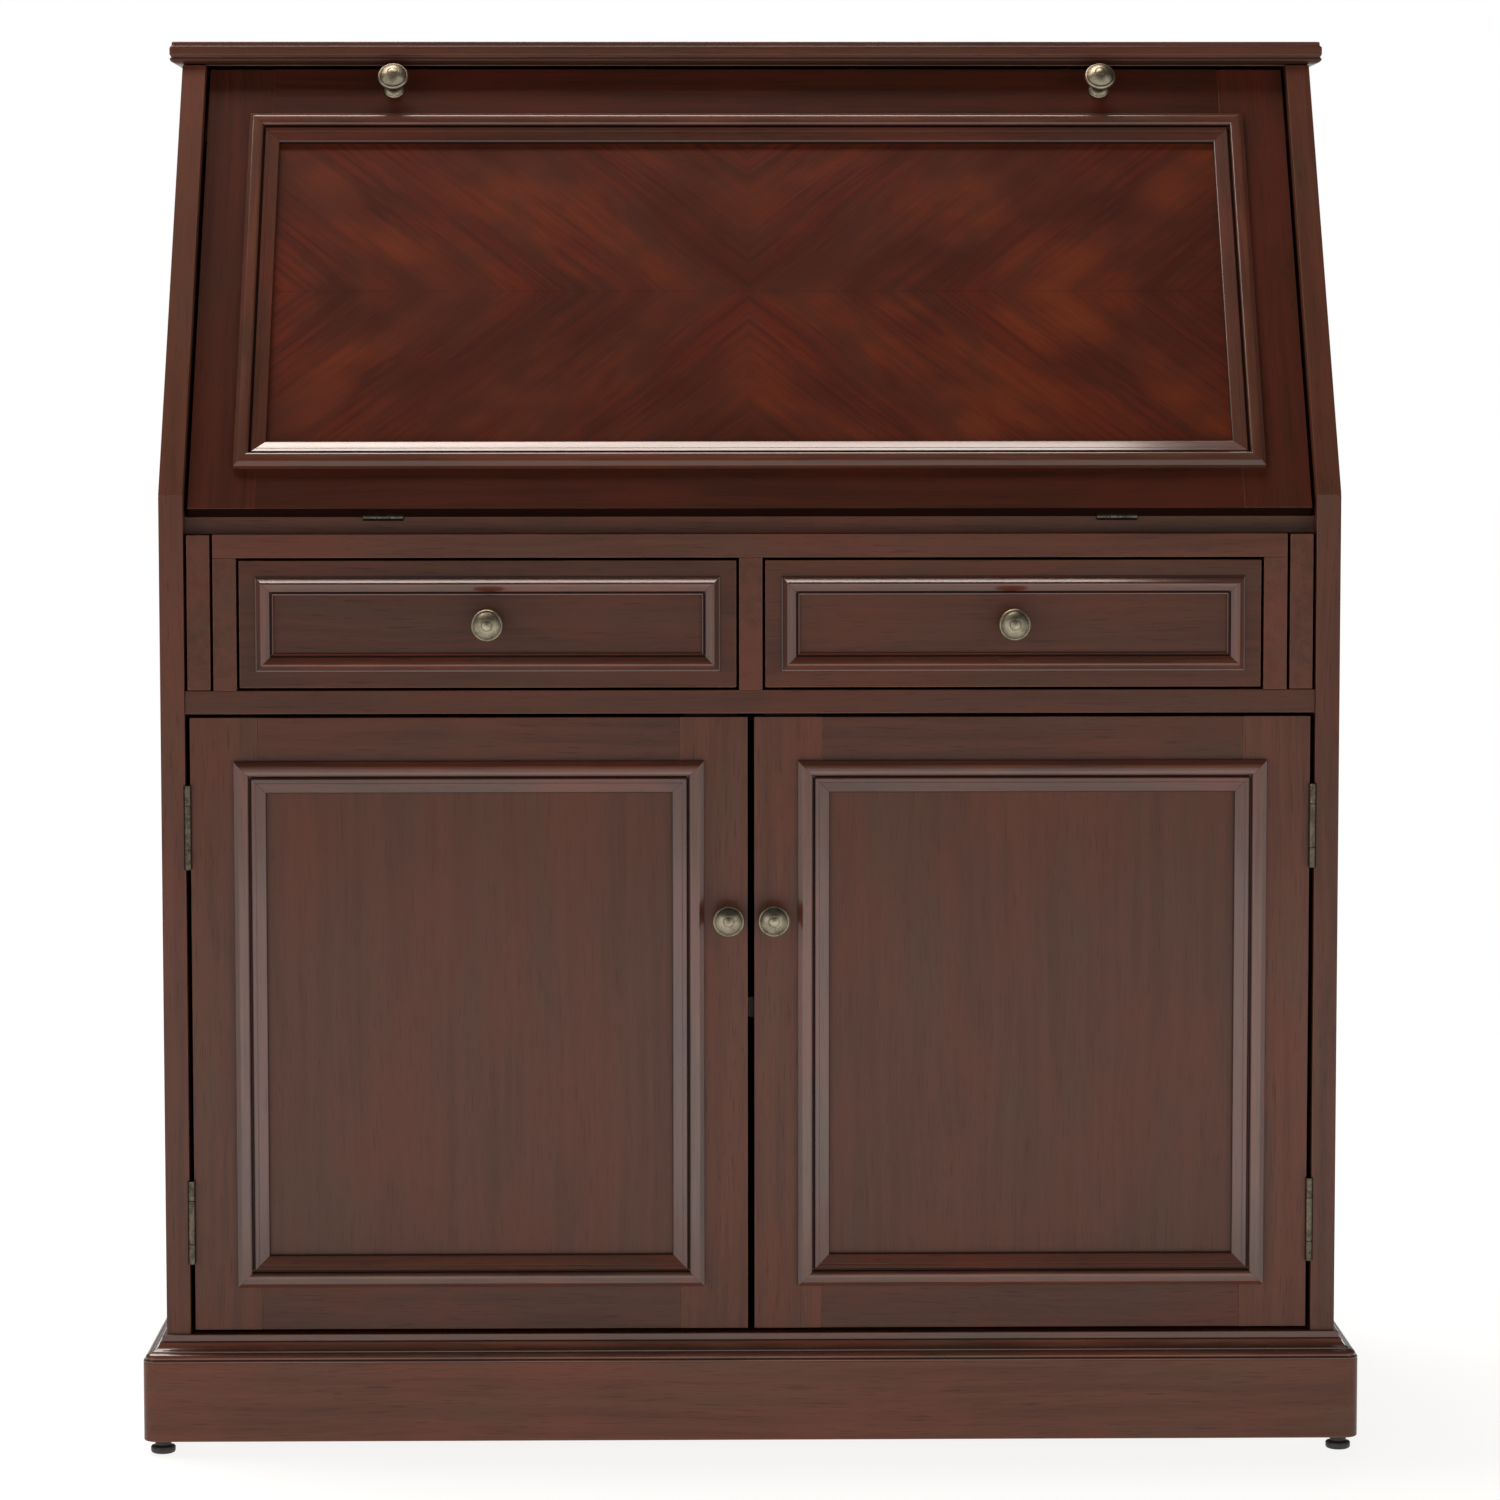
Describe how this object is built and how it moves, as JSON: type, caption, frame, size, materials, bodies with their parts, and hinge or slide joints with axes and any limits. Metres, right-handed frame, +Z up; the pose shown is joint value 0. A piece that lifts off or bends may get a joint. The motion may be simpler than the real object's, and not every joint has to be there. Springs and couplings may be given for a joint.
{
  "type": "secretary desk",
  "caption": "Slant-front secretary desk with a drop lid on pull-out lopers, two drawers, two panelled doors and a moulded plinth.",
  "frame": {"origin": "on the floor, in the middle of the overall width and depth", "axes": "+Z up, +Y towards the back, +X to the right of someone who sits at the desk's front"},
  "size_m": [0.914, 0.5064, 1.067],
  "materials": {
    "mahogany": "satin stained mahogany",
    "figured_veneer": "satin book-matched figured veneer",
    "moulding": "semi-gloss stained moulding",
    "inside_wood": "bare pale secondary wood",
    "desk_wood": "satin stained interior",
    "pewter": "antique pewter",
    "bronze": "dark bronze",
    "steel": "bright steel",
    "black_plastic": "matte black"
  },
  "bodies": {
    "case": {"left_side_panel": "mahogany", "right_side_panel": "mahogany", "side_edge_lippings": "mahogany", "top_board": "mahogany", "top_cove": "mahogany", "back_panel": "inside_wood", "cabinet_floor": "mahogany", "mid_rail": "mahogany", "drawer_floor_board": "inside_wood", "drawer_top_rail": "mahogany", "writing_board": "desk_wood", "loper_partitions": "mahogany", "centre_partition": "mahogany", "plinth_front": "mahogany", "plinth_sides": "mahogany", "plinth_back": "inside_wood", "plinth_cap_front": "mahogany", "plinth_cap_sides": "mahogany", "plinth_corner_blocks": "inside_wood", "glide_feet": "black_plastic", "cabinet_shelf": "mahogany", "shelf_pins": "steel", "organiser_boards": "desk_wood", "door_hinge_case_leaves": "bronze", "lid_hinge_board_leaves": "bronze", "hinge_pins": "steel", "door_catches": "black_plastic", "lid_stops": "mahogany"},
    "lid": {"lid_stiles": "mahogany", "lid_rails": "mahogany", "lid_panel": "figured_veneer", "lid_moulding": "moulding", "lid_knobs": "pewter", "lid_hinge_leaves": "bronze"},
    "loper_left": {"loper_left": "mahogany"},
    "loper_right": {"loper_right": "mahogany"},
    "drawer_left": {"drawer_left_front": "mahogany", "drawer_left_moulding": "moulding", "drawer_left_box": "inside_wood", "drawer_left_bottom": "inside_wood", "drawer_left_knob": "pewter"},
    "drawer_right": {"drawer_right_front": "mahogany", "drawer_right_moulding": "moulding", "drawer_right_box": "inside_wood", "drawer_right_bottom": "inside_wood", "drawer_right_knob": "pewter"},
    "door_left": {"door_left_stiles": "mahogany", "door_left_rails": "mahogany", "door_left_panel": "figured_veneer", "door_left_moulding": "moulding", "door_left_knob": "pewter", "door_left_hinge_leaves": "bronze"},
    "door_right": {"door_right_stiles": "mahogany", "door_right_rails": "mahogany", "door_right_panel": "figured_veneer", "door_right_moulding": "moulding", "door_right_knob": "pewter", "door_right_hinge_leaves": "bronze"},
    "inner_drawer": {"inner_drawer_boards": "desk_wood", "inner_drawer_knob": "pewter"}
  },
  "joints": [
    {"name": "lid_hinge", "type": "hinge", "parent": "case", "child": "lid", "pos_m": [0, -0.2148, 0.703], "axis": [1, 0, 0], "range_deg": [0, 122.5]},
    {"name": "loper_left_slide", "type": "slide", "parent": "case", "child": "loper_left", "axis": [0, -1, 0], "range_m": [0, 0.285]},
    {"name": "loper_right_slide", "type": "slide", "parent": "case", "child": "loper_right", "axis": [0, -1, 0], "range_m": [0, 0.285]},
    {"name": "drawer_left_slide", "type": "slide", "parent": "case", "child": "drawer_left", "axis": [0, -1, 0], "range_m": [0, 0.3]},
    {"name": "drawer_right_slide", "type": "slide", "parent": "case", "child": "drawer_right", "axis": [0, -1, 0], "range_m": [0, 0.3]},
    {"name": "door_left_hinge", "type": "hinge", "parent": "case", "child": "door_left", "pos_m": [-0.42025, -0.2298, 0.3], "axis": [0, 0, -1], "range_deg": [0, 110]},
    {"name": "door_right_hinge", "type": "hinge", "parent": "case", "child": "door_right", "pos_m": [0.42025, -0.2298, 0.3], "axis": [0, 0, 1], "range_deg": [0, 110]},
    {"name": "inner_drawer_slide", "type": "slide", "parent": "case", "child": "inner_drawer", "axis": [0, -1, 0], "range_m": [0, 0.15]}
  ]
}
